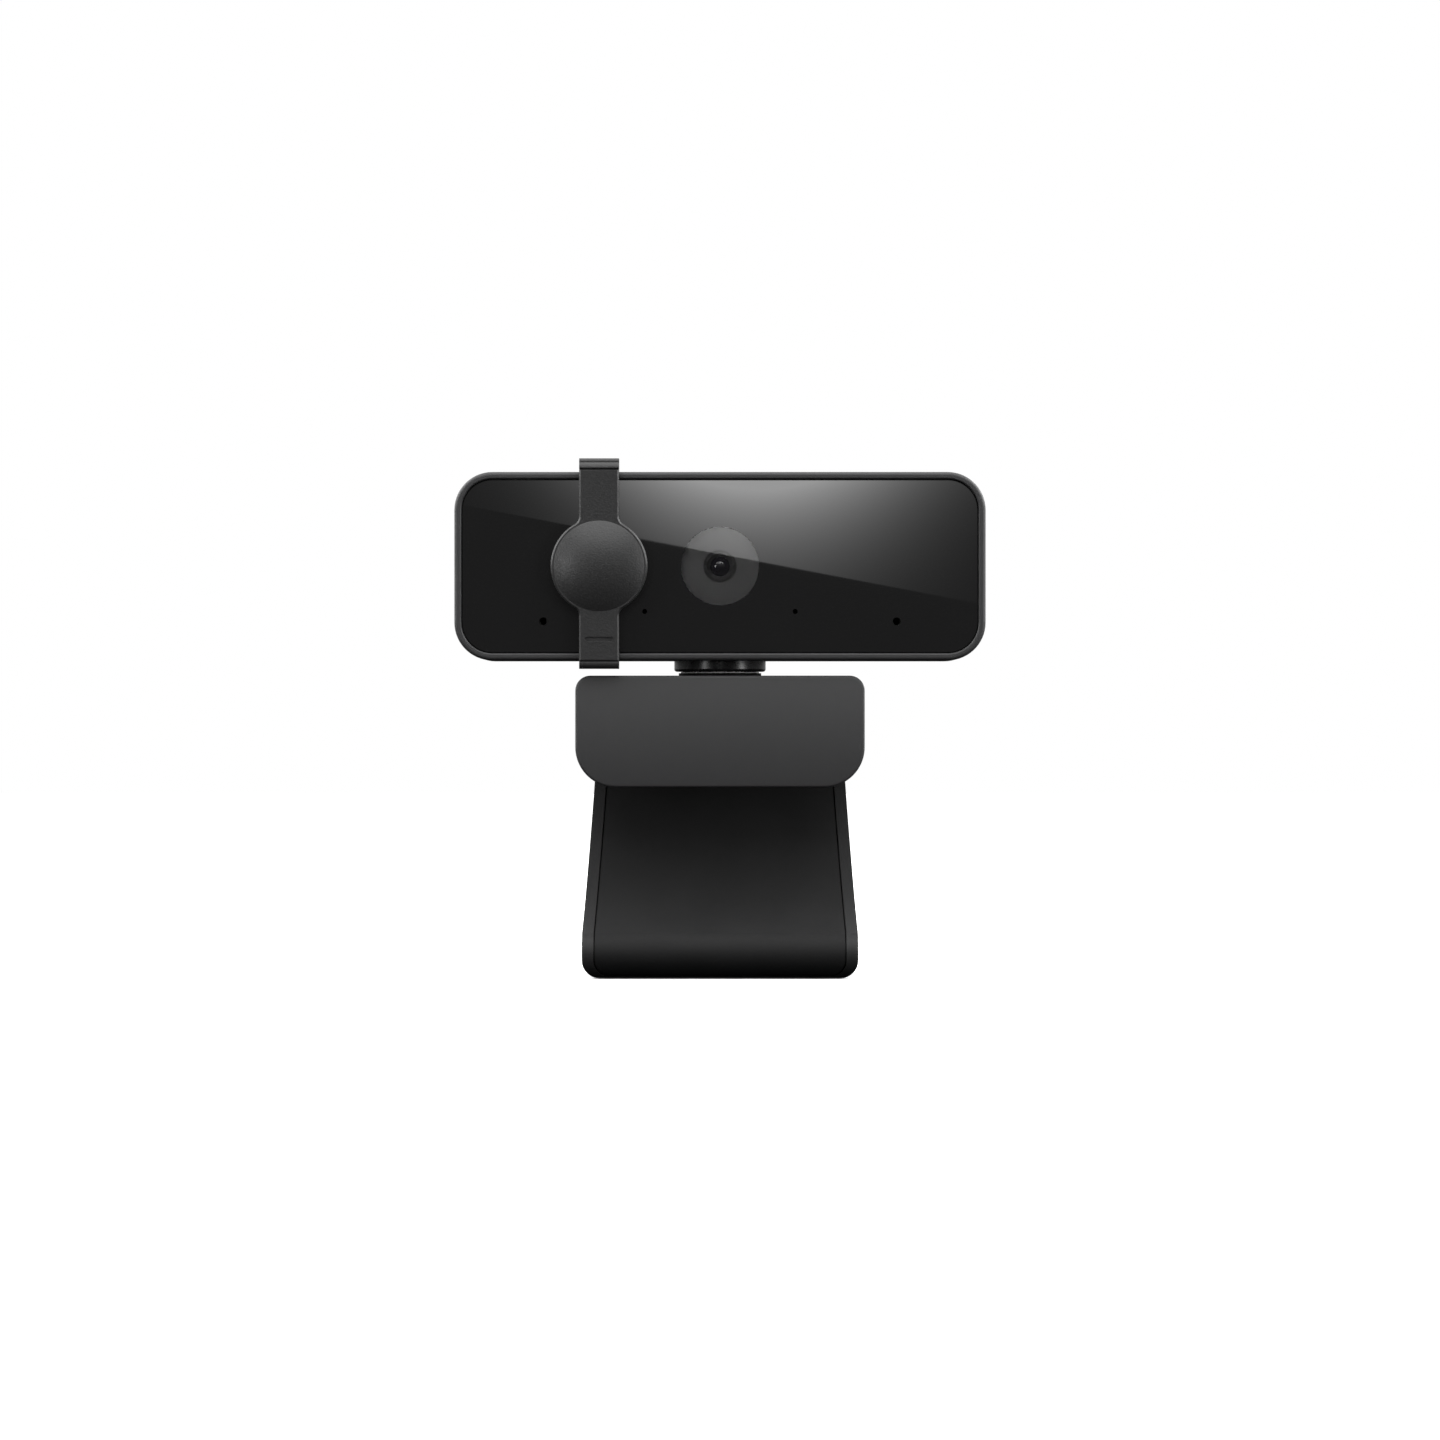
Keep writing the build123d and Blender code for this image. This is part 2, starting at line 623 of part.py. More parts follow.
def leg_profile():
    """Side view of the leg: straight down, sweeping forward, round the nose and back as a foot."""
    back_r = BEND_R + LEG_T
    web_z = FOOT_TOP + WEB_R
    web_y = BEND_Y + sqrt((back_r + WEB_R) ** 2 - (LEG_BEND_Z - web_z) ** 2)
    web_angle = Vector(web_y - BEND_Y, web_z - LEG_BEND_Z).get_signed_angle(Vector(1, 0))
    web_turn = abs(web_angle)
    heel_r = FOOT_T / 2
    heel_y = HEEL_Y - heel_r
    bend = (BEND_Y, LEG_BEND_Z)
    outline = [
        Line((LEG_FRONT_Y, HINGE_Z), (LEG_FRONT_Y, LEG_BEND_Z)),
        CenterArc(bend, BEND_R, 0, -SWEEP),
        CenterArc((NOSE_Y, NOSE_Z), NOSE_R, 180 - SWEEP, 90 + SWEEP),
        Line((NOSE_Y, PAD_PROUD), (heel_y, PAD_PROUD)),
        CenterArc((heel_y, PAD_PROUD + heel_r), heel_r, -90, 180),
        Line((heel_y, FOOT_TOP), (web_y, FOOT_TOP)),
        CenterArc((web_y, web_z), WEB_R, -90, -90 - web_turn),
        CenterArc(bend, back_r, -web_turn, web_turn),
        Line((LEG_FRONT_Y + LEG_T, LEG_BEND_Z), (LEG_FRONT_Y + LEG_T, HINGE_Z)),
        Line((LEG_FRONT_Y + LEG_T, HINGE_Z), (LEG_FRONT_Y, HINGE_Z)),
    ]
    return make_face(outline)


def skin_profile(end_degrees):
    """Side view of the soft panel: a skin on the leg's front that follows it round the nose."""
    bend = (BEND_Y, LEG_BEND_Z)
    nose = (NOSE_Y, NOSE_Z)
    inner_r = NOSE_R - PANEL_T
    wrap = end_degrees - (180 - SWEEP)
    top = PANEL_TOP
    outline = [
        Line((LEG_FRONT_Y, top), (LEG_FRONT_Y, LEG_BEND_Z)),
        CenterArc(bend, BEND_R, 0, -SWEEP),
        CenterArc(nose, NOSE_R, 180 - SWEEP, wrap),
        Line(on_circle(*nose, NOSE_R, end_degrees), on_circle(*nose, inner_r, end_degrees)),
        CenterArc(nose, inner_r, end_degrees, -wrap),
        CenterArc(bend, BEND_R + PANEL_T, -SWEEP, SWEEP),
        Line((LEG_FRONT_Y + PANEL_T, LEG_BEND_Z), (LEG_FRONT_Y + PANEL_T, top)),
        Line((LEG_FRONT_Y + PANEL_T, top), (LEG_FRONT_Y, top)),
    ]
    return make_face(outline)


def leg_outline(inset, corner_r, floor):
    """Front view of the leg, which widens towards the foot, with round lower corners."""
    top = HINGE_Z + KNUCKLE_R
    top_half = LEG_TOP_W / 2 - inset
    foot_half = LEG_FOOT_W / 2 - inset
    outline = Polygon(
        (-top_half, top),
        (-foot_half, CREST_Z),
        (-foot_half, floor),
        (foot_half, floor),
        (foot_half, CREST_Z),
        (top_half, top),
        align=None,
    )
    return fillet(outline.vertices().group_by(Axis.Y)[0], corner_r)


def foot_plan():
    """Everything inside the leg's plan view, whose two heel corners are round."""
    heel_r = 5.0
    plan = Rectangle(LEG_FOOT_W, 2 * HEEL_Y)
    plan = fillet(plan.vertices().group_by(Axis.Y)[-1], heel_r)
    return extrude(plan, amount=HINGE_Z + 2 * KNUCKLE_R)


def leg_frame():
    """Leg, foot and hinge ears moulded as one, with a recess for the soft panel."""
    half = LEG_FOOT_W / 2
    top_half = LEG_TOP_W / 2
    leg = side(leg_profile(), -half, half)
    ears = rod_x(KNUCKLE_R, -top_half, top_half, HINGE_Y, HINGE_Z)
    leg += ears
    leg &= slab(leg_outline(0, FOOT_CORNER_R, PAD_PROUD), DOME_FRONT, HEEL_Y + 1)
    leg &= foot_plan()
    leg -= rod_x(KNUCKLE_R + SWING_GAP, -EAR_IN, EAR_IN, HINGE_Y, HINGE_Z)
    end_gap = 3.0  # degrees round the nose
    recess = side(skin_profile(PANEL_END + end_gap), -half, half)
    leg -= recess & slab(leg_outline(STRIP, RECESS_CORNER_R, RECESS_LOW), DOME_FRONT, HEEL_Y)
    boss_cap = 1.2
    leg += rod_z(SOCKET_BOSS_R, FOOT_TOP - 1, PAD_PROUD + INSERT_LONG + boss_cap)
    leg -= rod_z(INSERT_R, PAD_PROUD, PAD_PROUD + INSERT_LONG)
    for x, y in FOOT_PADS:
        leg -= rod_z(FOOT_PAD_R, PAD_PROUD, PAD_PROUD + FOOT_PAD_SUNK, x, y)
    leg -= rod_x(PIN_R, -PIN_HALF, PIN_HALF, HINGE_Y, HINGE_Z)
    for low, high in ((-top_half - 1, -PIN_HALF), (PIN_HALF, top_half + 1)):
        leg -= rod_x(CAP_R, low, high, HINGE_Y, HINGE_Z)
    return leg


def leg_panel():
    """Soft rubber panel let into the leg's front, which grips the screen's back."""
    half = LEG_FOOT_W / 2
    panel = side(skin_profile(PANEL_END), -half, half)
    corner_r = RECESS_CORNER_R - SEAM
    return panel & slab(leg_outline(STRIP + SEAM, corner_r, RECESS_LOW + SEAM), DOME_FRONT, HEEL_Y)


def hinge_pin():
    return rod_x(PIN_R, -PIN_HALF, PIN_HALF, HINGE_Y, HINGE_Z)


def hinge_caps():
    """Plugs that close the ears over the pin's ends."""
    edge = LEG_TOP_W / 2 - 0.15
    spans = [(-edge, -PIN_HALF), (PIN_HALF, edge)]
    return [rod_x(CAP_R, low, high, HINGE_Y, HINGE_Z) for low, high in spans]


def tripod_insert():
    """Brass insert in the foot, with a 1/4-20 UNC socket modelled at its minor diameter."""
    insert = rod_z(INSERT_R, PAD_PROUD, PAD_PROUD + INSERT_LONG)
    return insert - rod_z(SOCKET_R, PAD_PROUD, PAD_PROUD + INSERT_LONG)


def foot_pads():
    return [rod_z(FOOT_PAD_R, 0, PAD_PROUD + FOOT_PAD_SUNK, x, y) for x, y in FOOT_PADS]


# ---- Privacy cover ----------------------------------------------------------------------------
def bead(z, towards_head):
    """The bead under a hook, from back to front, that runs in the head's rail groove."""
    tip = z + towards_head * BEAD_DEEP
    return [
        (RAIL_Y + BEAD_HALF, z),
        (RAIL_Y + BEAD_TIP_HALF, tip),
        (RAIL_Y - BEAD_TIP_HALF, tip),
        (RAIL_Y - BEAD_HALF, z),
    ]


def cover_profile():
    """Side view of the strap with its ribbed upper hook and rounded lower hook."""
    upper = HEAD_TOP + HOOK_GAP
    lower = HEAD_BOTTOM - HOOK_GAP
    hook_y = STRAP_FRONT + HOOK_STEP
    bevel_low = upper + 0.05
    bevel_high = bevel_low + HOOK_STEP
    rib_low = bevel_high + 0.05
    rib_high = rib_low + 1.1
    rib_edge = (hook_y - 0.4, rib_low + 0.15)
    rib_belly = (hook_y - 0.28, rib_low + 0.66)
    groove_half = 0.25
    top_r = 0.55
    back_r = 0.8
    low_r = 0.9
    heel_r = 0.5
    outline = [
        Polyline(
            (STRAP_FRONT, lower + groove_half),
            (STRAP_FRONT, bevel_low),
            (hook_y, bevel_high),
            (hook_y, rib_low),
            rib_edge,
        ),
        ThreePointArc(rib_edge, rib_belly, (hook_y, rib_high)),
        Line((hook_y, rib_high), (hook_y, COVER_TOP - top_r)),
        RadiusArc((hook_y, COVER_TOP - top_r), (hook_y + top_r, COVER_TOP), top_r),
        Line((hook_y + top_r, COVER_TOP), (HOOK_BACK - back_r, COVER_TOP)),
        RadiusArc((HOOK_BACK - back_r, COVER_TOP), (HOOK_BACK, COVER_TOP - back_r), back_r),
        Polyline((HOOK_BACK, COVER_TOP - back_r), (HOOK_BACK, upper), *bead(upper, -1)),
        Polyline(bead(upper, -1)[-1], (STRAP_BACK, upper), (STRAP_BACK, lower), bead(lower, 1)[-1]),
        Polyline(*reversed(bead(lower, 1)), (HOOK_BACK, lower), (HOOK_BACK, COVER_BOTTOM + heel_r)),
        RadiusArc((HOOK_BACK, COVER_BOTTOM + heel_r), (HOOK_BACK - heel_r, COVER_BOTTOM), heel_r),
        Line((HOOK_BACK - heel_r, COVER_BOTTOM), (STRAP_FRONT + low_r, COVER_BOTTOM)),
        RadiusArc((STRAP_FRONT + low_r, COVER_BOTTOM), (STRAP_FRONT, COVER_BOTTOM + low_r), low_r),
        Polyline(
            (STRAP_FRONT, COVER_BOTTOM + low_r),
            (STRAP_FRONT, lower - groove_half),
            (hook_y, lower),
            (STRAP_FRONT, lower + groove_half),
        ),
    ]
    return make_face(outline)


def privacy_cover():
    """One moulding: a strap that hooks over the head, with a domed disc that hides the lens."""
    neck_r = 1.6
    curve_r = (DOME_R**2 + DOME_RISE**2) / (2 * DOME_RISE)
    strap = Pos(0, HEAD_Z) * Rectangle(STRAP_W, 2 * (COVER_R + neck_r))
    face = strap + Pos(0, HEAD_Z) * Circle(COVER_R)
    inner = [v for v in face.vertices() if abs(v.Y - HEAD_Z) < COVER_R]
    face = fillet(inner, neck_r)
    cover = slab(face, STRAP_FRONT, STRAP_BACK)
    cover += side(cover_profile(), -STRAP_W / 2, STRAP_W / 2)
    tiny = 0.01
    edges = cover.edges().filter_by_position(Axis.Y, STRAP_FRONT - tiny, STRAP_FRONT + tiny)
    edges = edges.filter_by_position(Axis.Z, HEAD_BOTTOM, HEAD_TOP + 1)
    level = edges.filter_by(Axis.X)
    cover = chamfer([edge for edge in edges if edge not in level], COVER_BREAK)
    ball = Pos(0, DOME_FRONT + curve_r, HEAD_Z) * Sphere(curve_r)
    cover += rod_y(DOME_R, DOME_FRONT - 1, STRAP_FRONT + 0.2) & ball
    mark_z = 60.8
    cover -= slab(Pos(0, mark_z) * SlotOverall(5.1, 0.8), STRAP_FRONT, STRAP_FRONT + 0.25)
    return Pos(COVER_X, 0, 0) * cover


NODES = {
    "front_shell": front_shell,
    "rear_shell": rear_shell,
    "front_glass": front_glass,
    "glass_tape": glass_tape,
    "cable_gland": cable_gland,
    "main_board": main_board,
    "lens_holder": lens_holder,
    "ir_filter": ir_filter,
    "image_sensor": image_sensor,
    "lens_barrel": lens_barrel,
    "front_lens": front_lens,
    "rear_lens": rear_lens,
    "lens_spacer": lens_spacer,
    "lens_shroud": lens_shroud,
    "mic_boots": lambda: at_each(MIC_PORTS, mic_boot),
    "mic_capsules": lambda: at_each(MIC_PORTS, mic_capsule),
    "mic_felts": lambda: at_each(MIC_PORTS, mic_felt),
    "light_pipes": lambda: at_each(LED_PORTS, light_pipe),
    "indicator_leds": lambda: at_each(LED_PORTS, indicator_led),
    "processor_chip": lambda: board_chip("processor_chip"),
    "memory_chip": lambda: board_chip("memory_chip"),
    "clock_crystal": lambda: board_chip("clock_crystal"),
    "cable_header": cable_header,
    "chip_capacitors": chip_capacitors,
    "board_screws": board_screws,
    "case_screws": case_screws,
    "swivel_collar": swivel_collar,
    "pivot_bush": pivot_bush,
    "swivel_base": swivel_base,
    "friction_washer": friction_washer,
    "pivot_stud": pivot_stud,
    "pressure_washer": pressure_washer,
    "wave_washer": wave_washer,
    "pivot_nut": pivot_nut,
    "clip_bracket": clip_bracket,
    "lip_pad": lip_pad,
    "arm_pad": arm_pad,
    "friction_sleeves": friction_sleeves,
    "leg_frame": leg_frame,
    "leg_panel": leg_panel,
    "hinge_pin": hinge_pin,
    "hinge_caps": hinge_caps,
    "tripod_insert": tripod_insert,
    "foot_pads": foot_pads,
    "privacy_cover": privacy_cover,
}

os.makedirs("parts", exist_ok=True)
for name, build in NODES.items():
    made = build()
    solids = made if isinstance(made, list) else [made]
    shape = Compound(children=[s for piece in solids for s in piece.solids()])
    export_step(shape, f"parts/{name}.step")
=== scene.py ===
"""Looks of a bar-shaped webcam on a folding monitor clip: materials, stage, lights and camera.

Everything is in metres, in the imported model's own frame: +Z up, the lens looks along -Y.
"""

import math

import bpy
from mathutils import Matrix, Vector


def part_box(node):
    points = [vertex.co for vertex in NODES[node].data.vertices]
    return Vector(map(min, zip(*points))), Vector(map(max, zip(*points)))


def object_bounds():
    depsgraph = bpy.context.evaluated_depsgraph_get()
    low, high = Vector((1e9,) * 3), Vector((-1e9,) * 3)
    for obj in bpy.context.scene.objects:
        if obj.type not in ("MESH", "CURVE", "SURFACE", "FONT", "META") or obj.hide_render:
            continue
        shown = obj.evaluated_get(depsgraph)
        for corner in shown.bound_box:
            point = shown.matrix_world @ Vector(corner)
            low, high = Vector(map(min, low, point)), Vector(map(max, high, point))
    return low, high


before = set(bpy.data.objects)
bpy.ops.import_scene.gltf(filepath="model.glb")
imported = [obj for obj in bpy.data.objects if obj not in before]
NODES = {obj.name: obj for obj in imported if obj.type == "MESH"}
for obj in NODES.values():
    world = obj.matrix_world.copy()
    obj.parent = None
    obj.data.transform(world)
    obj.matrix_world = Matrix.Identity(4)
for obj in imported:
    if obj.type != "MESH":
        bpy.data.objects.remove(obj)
cad_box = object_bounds()

MM = 0.001
GLASS_LOW, GLASS_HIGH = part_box("front_glass")
GLASS_W = GLASS_HIGH.x - GLASS_LOW.x
GLASS_H = GLASS_HIGH.z - GLASS_LOW.z
MIDDLE = (cad_box[0] + cad_box[1]) / 2
SHROUD_LOW, SHROUD_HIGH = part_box("lens_shroud")
LENS_AXIS = (SHROUD_LOW + SHROUD_HIGH) / 2
WINDOW_R = 7.0 * MM  # clear disc in the black print behind the glass

CAMERA_AWAY = 1200 * MM  # from the front glass
CAMERA_HEIGHT = MIDDLE.z - 0.2 * MM
VIEW_WIDTH = 257.4 * MM  # what the picture spans at the glass
SENSOR = 36.0

# Softboxes: azimuth and elevation in degrees (0 is the camera's side, positive to its right),
# width and height in metres, power in watts.
LIGHT_AWAY = 0.9
SOFTBOXES = {
    "key_softbox": (0, 50, 0.9, 0.8, 5.2),
    "top_softbox": (0, 88, 0.9, 0.6, 3.6),
    "left_strip": (-38, 6, 0.16, 0.3, 0.9),
    "right_strip": (57, 6, 0.20, 0.3, 1.7),
    "left_rim_light": (-98, 32, 1.1, 0.8, 15.0),
    "right_rim_light": (98, 32, 1.1, 0.8, 16.0),
}

# The room that lights the object: a part of the direction runs from, to; strength runs from, to.
ROOM_ABOVE = (-0.25, 1.0, 0.02, 0.5)
ROOM_BEHIND = (0.1, 0.8, 0.0, 0.5)
ROOM_BESIDE = (0.82, 0.98, 0.0, 0.6)
ROOM_OVER_FLOOR = (-0.12, 0.05, 0.02, 1.0)

FLOOR_HALF = 3.0
FLOOR_SHADED_R = 29 * MM  # the floor starts to glow here
FLOOR_WHITE_R = 80 * MM  # and is as white as the backdrop from here
FLOOR_GLOW_LEAST = 0.2

# The glowing card that the front glass mirrors, placed and sized as it appears on the glass.
CARD_SLOPE = -0.191  # of its lower edge
CARD_MIDDLE_Z = GLASS_LOW.z + 0.570 * GLASS_H  # where the lower edge crosses the glass's middle
CARD_OVERHANG = 1.3  # its half width over the glass's
CARD_ABOVE = 15 * MM  # how far it reaches past the glass's top
CARD_PEAK_X = 0.143 * GLASS_HIGH.x
CARD_PEAK_Z = GLASS_LOW.z + 0.939 * GLASS_H
CARD_FALL_X = 0.257 * GLASS_W  # distances over which the glow dies away
CARD_FALL_Z = 0.291 * GLASS_H
CARD_GLOW = (0.12, 7.6)  # least and greatest strength

WINDOW_EDGE = 0.05 * MM
MOULDED_EDGE = 0.15 * MM  # radius by which shading rounds sharp edges
GRAINED_EDGE = 0.05 * MM
TURNING_PITCH = 0.25 * MM


# ---- Node helpers -----------------------------------------------------------------------------
class Shader:
    """A material with one Principled shader, and short ways to feed it."""

    def __init__(self, name):
        self.material = bpy.data.materials.new(name)
        self.material.use_nodes = True
        self.tree = self.material.node_tree
        self.principled = self.tree.nodes["Principled BSDF"]
        self.output = self.tree.nodes["Material Output"]
        self.coords = self.add("ShaderNodeTexCoord").outputs["Object"]

    def add(self, kind, **settings):
        node = self.tree.nodes.new(kind)
        for key, value in settings.items():
            setattr(node, key, value)
        return node

    def link(self, source, target):
        self.tree.links.new(source, target)

    def set(self, **values):
        """Plain values on the Principled shader's own sockets, with _ for a space in a name."""
        for key, value in values.items():
            self.principled.inputs[key.replace("_", " ")].default_value = value

    def placed(self, offset=(0, 0, 0), stretch=(1, 1, 1)):
        """The piece's own coordinates, moved and stretched."""
        mapping = self.add("ShaderNodeMapping")
        mapping.inputs["Location"].default_value = offset
        mapping.inputs["Scale"].default_value = stretch
        self.link(self.coords, mapping.inputs["Vector"])
        return mapping.outputs["Vector"]

    def noise(self, size, detail=3.0, roughness=0.5, vector=None):
        """Cloudy pattern whose features are about size metres across."""
        node = self.add("ShaderNodeTexNoise")
        node.inputs["Scale"].default_value = 1 / size
        node.inputs["Detail"].default_value = detail
        node.inputs["Roughness"].default_value = roughness
        self.link(vector or self.coords, node.inputs["Vector"])
        return node.outputs["Fac"]

    def cells(self, size, feature="F1", vector=None):
        """Distance to the nearest of many scattered points, about size metres apart."""
        node = self.add("ShaderNodeTexVoronoi", feature=feature)
        node.inputs["Scale"].default_value = 1 / size
        self.link(vector or self.coords, node.inputs["Vector"])
        return node.outputs["Distance"]

    def spread(self, value, low, high, from_low=0.0, from_high=1.0):
        """A value stretched from one range to another."""
        node = self.add("ShaderNodeMapRange")
        node.inputs["From Min"].default_value = from_low
        node.inputs["From Max"].default_value = from_high
        node.inputs["To Min"].default_value = low
        node.inputs["To Max"].default_value = high
        self.link(value, node.inputs["Value"])
        return node.outputs["Result"]

    def maths(self, operation, a, b=None):
        node = self.add("ShaderNodeMath", operation=operation)
        for value, socket in zip((a, b), node.inputs):
            if isinstance(value, (int, float)):
                socket.default_value = value
            elif value is not None:
                self.link(value, socket)
        return node.outputs[0]

    def blend(self, factor, a, b):
        """Colour between a and b, each a colour or an output."""
        node = self.add("ShaderNodeMix", data_type="RGBA")
        self.link(factor, node.inputs["Factor"])
        first, second = node.inputs[6], node.inputs[7]  # the node's colour sockets A and B
        for value, socket in ((a, first), (b, second)):
            if isinstance(value, tuple):
                socket.default_value = (*value, 1)
            else:
                self.link(value, socket)
        return node.outputs[2]

    def bump(self, height, depth, strength=1.0, below=None):
        """Normals of a surface that rises by up to depth metres where height is 1."""
        node = self.add("ShaderNodeBump")
        node.inputs["Strength"].default_value = strength
        node.inputs["Distance"].default_value = depth
        self.link(height, node.inputs["Height"])
        if below is not None:
            self.link(below, node.inputs["Normal"])
        return node.outputs["Normal"]

    def soft_edges(self, radius):
        """Normals that turn smoothly over the model's sharp edges."""
        node = self.add("ShaderNodeBevel", samples=4)
        node.inputs["Radius"].default_value = radius
        return node.outputs["Normal"]

    def feed(self, name, value):
        self.link(value, self.principled.inputs[name])


def tint(colour, amount):
    return tuple(min(1.0, c * amount) for c in colour)


# ---- Materials --------------------------------------------------------------------------------
def moulded(name, colour, roughness, grain, depth, vary=0.12, specular=0.5):
    """Moulded plastic: a fine even texture, with slow changes of tone and gloss."""
    s = Shader(name)
    s.set(Specular_IOR_Level=specular)
    fine = s.noise(grain, detail=2.0)
    pits = s.cells(grain * 1.6)
    slow = s.noise(22 * MM, detail=2.0)
    s.feed("Base Color", s.blend(slow, tint(colour, 1 - vary), tint(colour, 1 + vary)))
    s.feed("Roughness", s.spread(fine, roughness - 0.05, roughness + 0.05, 0.3, 0.7))
    height = s.maths("ADD", fine, s.maths("MULTIPLY", pits, 0.5))
    s.feed("Normal", s.bump(height, depth, below=s.soft_edges(MOULDED_EDGE)))
    return s.material


def grained(name, colour, roughness):
    """Plastic moulded with a fine leather-like grain."""
    s = Shader(name)
    wander = s.noise(0.8 * MM, detail=2.0)
    shifted = s.add("ShaderNodeVectorMath", operation="ADD")
    pushed = s.add("ShaderNodeVectorMath", operation="SCALE")
    pushed.inputs["Scale"].default_value = 0.25 * MM
    s.link(wander, pushed.inputs[0])
    s.link(s.placed(stretch=(1, 1, 1.4)), shifted.inputs[0])
    s.link(pushed.outputs[0], shifted.inputs[1])
    creases = s.cells(0.36 * MM, "SMOOTH_F1", shifted.outputs[0])
    fine = s.noise(0.12 * MM, detail=3.0)
    slow = s.noise(14 * MM, detail=2.0)
    s.feed("Base Color", s.blend(slow, tint(colour, 0.88), tint(colour, 1.12)))
    s.feed("Roughness", s.spread(creases, roughness - 0.06, roughness + 0.10, 0.1, 0.8))
    rough_skin = s.bump(fine, 0.008 * MM, below=s.soft_edges(GRAINED_EDGE))
    s.feed("Normal", s.bump(creases, 0.02 * MM, below=rough_skin))
    return s.material


def rubber(name, colour, roughness, grain=0.2 * MM, depth=0.01 * MM, specular=0.5):
    """Soft rubber with a bloom of dust-like variation."""
    s = Shader(name)
    s.set(Specular_IOR_Level=specular)
    fine = s.noise(grain, detail=4.0)
    bloom = s.noise(9 * MM, detail=4.0)
    s.feed("Base Color", s.blend(bloom, tint(colour, 0.92), tint(colour, 1.08)))
    s.feed("Roughness", s.spread(bloom, roughness - 0.04, roughness + 0.05, 0.3, 0.7))
    s.feed("Normal", s.bump(fine, depth))
    return s.material


def polished(name, colour, roughness, specular=0.5):
    """Glossy black plastic with a faint ripple."""
    s = Shader(name)
    s.set(Specular_IOR_Level=specular)
    ripple = s.noise(4 * MM, detail=1.0)
    haze = s.noise(1.5 * MM, detail=4.0)
    s.feed("Base Color", s.blend(haze, tint(colour, 0.9), tint(colour, 1.15)))
    s.feed("Roughness", s.spread(haze, roughness - 0.03, roughness + 0.04, 0.3, 0.7))
    s.feed("Normal", s.bump(ripple, 0.01 * MM, 0.4))
    return s.material


def metal(name, colour, roughness, stretch=(1, 1, 1)):
    """Turned or drawn metal, with fine streaks along one direction."""
    s = Shader(name)
    streaks = s.noise(0.12 * MM, detail=3.0, vector=s.placed(stretch=stretch))
    stain = s.noise(2.5 * MM, detail=3.0)
    s.set(Metallic=1.0)
    s.feed("Base Color", s.blend(stain, tint(colour, 0.82), tint(colour, 1.1)))
    s.feed("Roughness", s.spread(streaks, roughness - 0.07, roughness + 0.1, 0.3, 0.7))
    s.feed("Normal", s.bump(streaks, 0.006 * MM, 0.6))
    return s.material


def lens_window(name):
    """Cover glass: printed black behind, with a clear disc in front of the lens."""
    s = Shader(name)
    smear = s.noise(18 * MM, detail=3.0)
    s.feed("Base Color", s.blend(smear, (0.0076, 0.0076, 0.0077), (0.0096, 0.0096, 0.0097)))
    s.feed("Roughness", s.spread(smear, 0.004, 0.012, 0.3, 0.7))
    across = s.placed(offset=(-LENS_AXIS.x, 0, -LENS_AXIS.z), stretch=(1, 0, 1))
    distance = s.add("ShaderNodeVectorMath", operation="LENGTH")
    s.link(across, distance.inputs[0])
    inner, outer = WINDOW_R - WINDOW_EDGE, WINDOW_R + WINDOW_EDGE
    inside = s.spread(distance.outputs["Value"], 1.0, 0.0, inner, outer)
    clear = s.add("ShaderNodeBsdfTransparent")
    clear.inputs["Color"].default_value = (0.88, 0.88, 0.88, 1)
    gloss = s.add("ShaderNodeBsdfGlossy")
    gloss.inputs["Roughness"].default_value = 0.006
    mirror = s.add("ShaderNodeFresnel")
    mirror.inputs["IOR"].default_value = 1.5
    pane = s.add("ShaderNodeMixShader")
    s.link(mirror.outputs[0], pane.inputs[0])
    s.link(clear.outputs[0], pane.inputs[1])
    s.link(gloss.outputs[0], pane.inputs[2])
    both = s.add("ShaderNodeMixShader")
    s.link(inside, both.inputs[0])
    s.link(s.principled.outputs[0], both.inputs[1])
    s.link(pane.outputs[0], both.inputs[2])
    s.link(both.outputs[0], s.output.inputs["Surface"])
    return s.material


def coated_lens(name, centre_colour, rim_colour):
    """Dark coated glass whose colour shifts towards its rim, where it is seen at a slant: the
    coating's tint, with a painted sheen that lightens it there.
    """
    s = Shader(name)
    facing = s.add("ShaderNodeLayerWeight")
    facing.inputs["Blend"].default_value = 0.35
    dust = s.noise(0.4 * MM, detail=3.0)
    # Facing blend: the coating's tint shift, plus a painted sheen that makes the slanting rim
    # lighter.
    tint_with_painted_sheen = s.blend(facing.outputs["Facing"], centre_colour, rim_colour)
    s.feed("Base Color", s.blend(s.spread(dust, 0.0, 0.25), tint_with_painted_sheen, tint(rim_colour, 1.4)))
    s.feed("Roughness", s.spread(dust, 0.01, 0.05))
    s.set(Coat_Weight=1.0, Coat_Roughness=0.02, IOR=1.6)
    return s.material


def turned_barrel(name, colour):
    """Dull grey barrel with fine rings about the lens axis."""
    s = Shader(name)
    across = s.placed(offset=(-LENS_AXIS.x, 0, -LENS_AXIS.z))
    rings = s.add("ShaderNodeTexWave", wave_type="RINGS", rings_direction="Y")
    rings.inputs["Scale"].default_value = 0.5 / TURNING_PITCH
    rings.inputs["Distortion"].default_value = 0.3
    s.link(across, rings.inputs["Vector"])
    stain = s.noise(1.5 * MM)
    s.feed("Base Color", s.blend(stain, tint(colour, 0.8), tint(colour, 1.25)))
    s.feed("Roughness", s.spread(rings.outputs["Fac"], 0.32, 0.48))
    s.feed("Normal", s.bump(rings.outputs["Fac"], 0.012 * MM, 0.5))
    return s.material


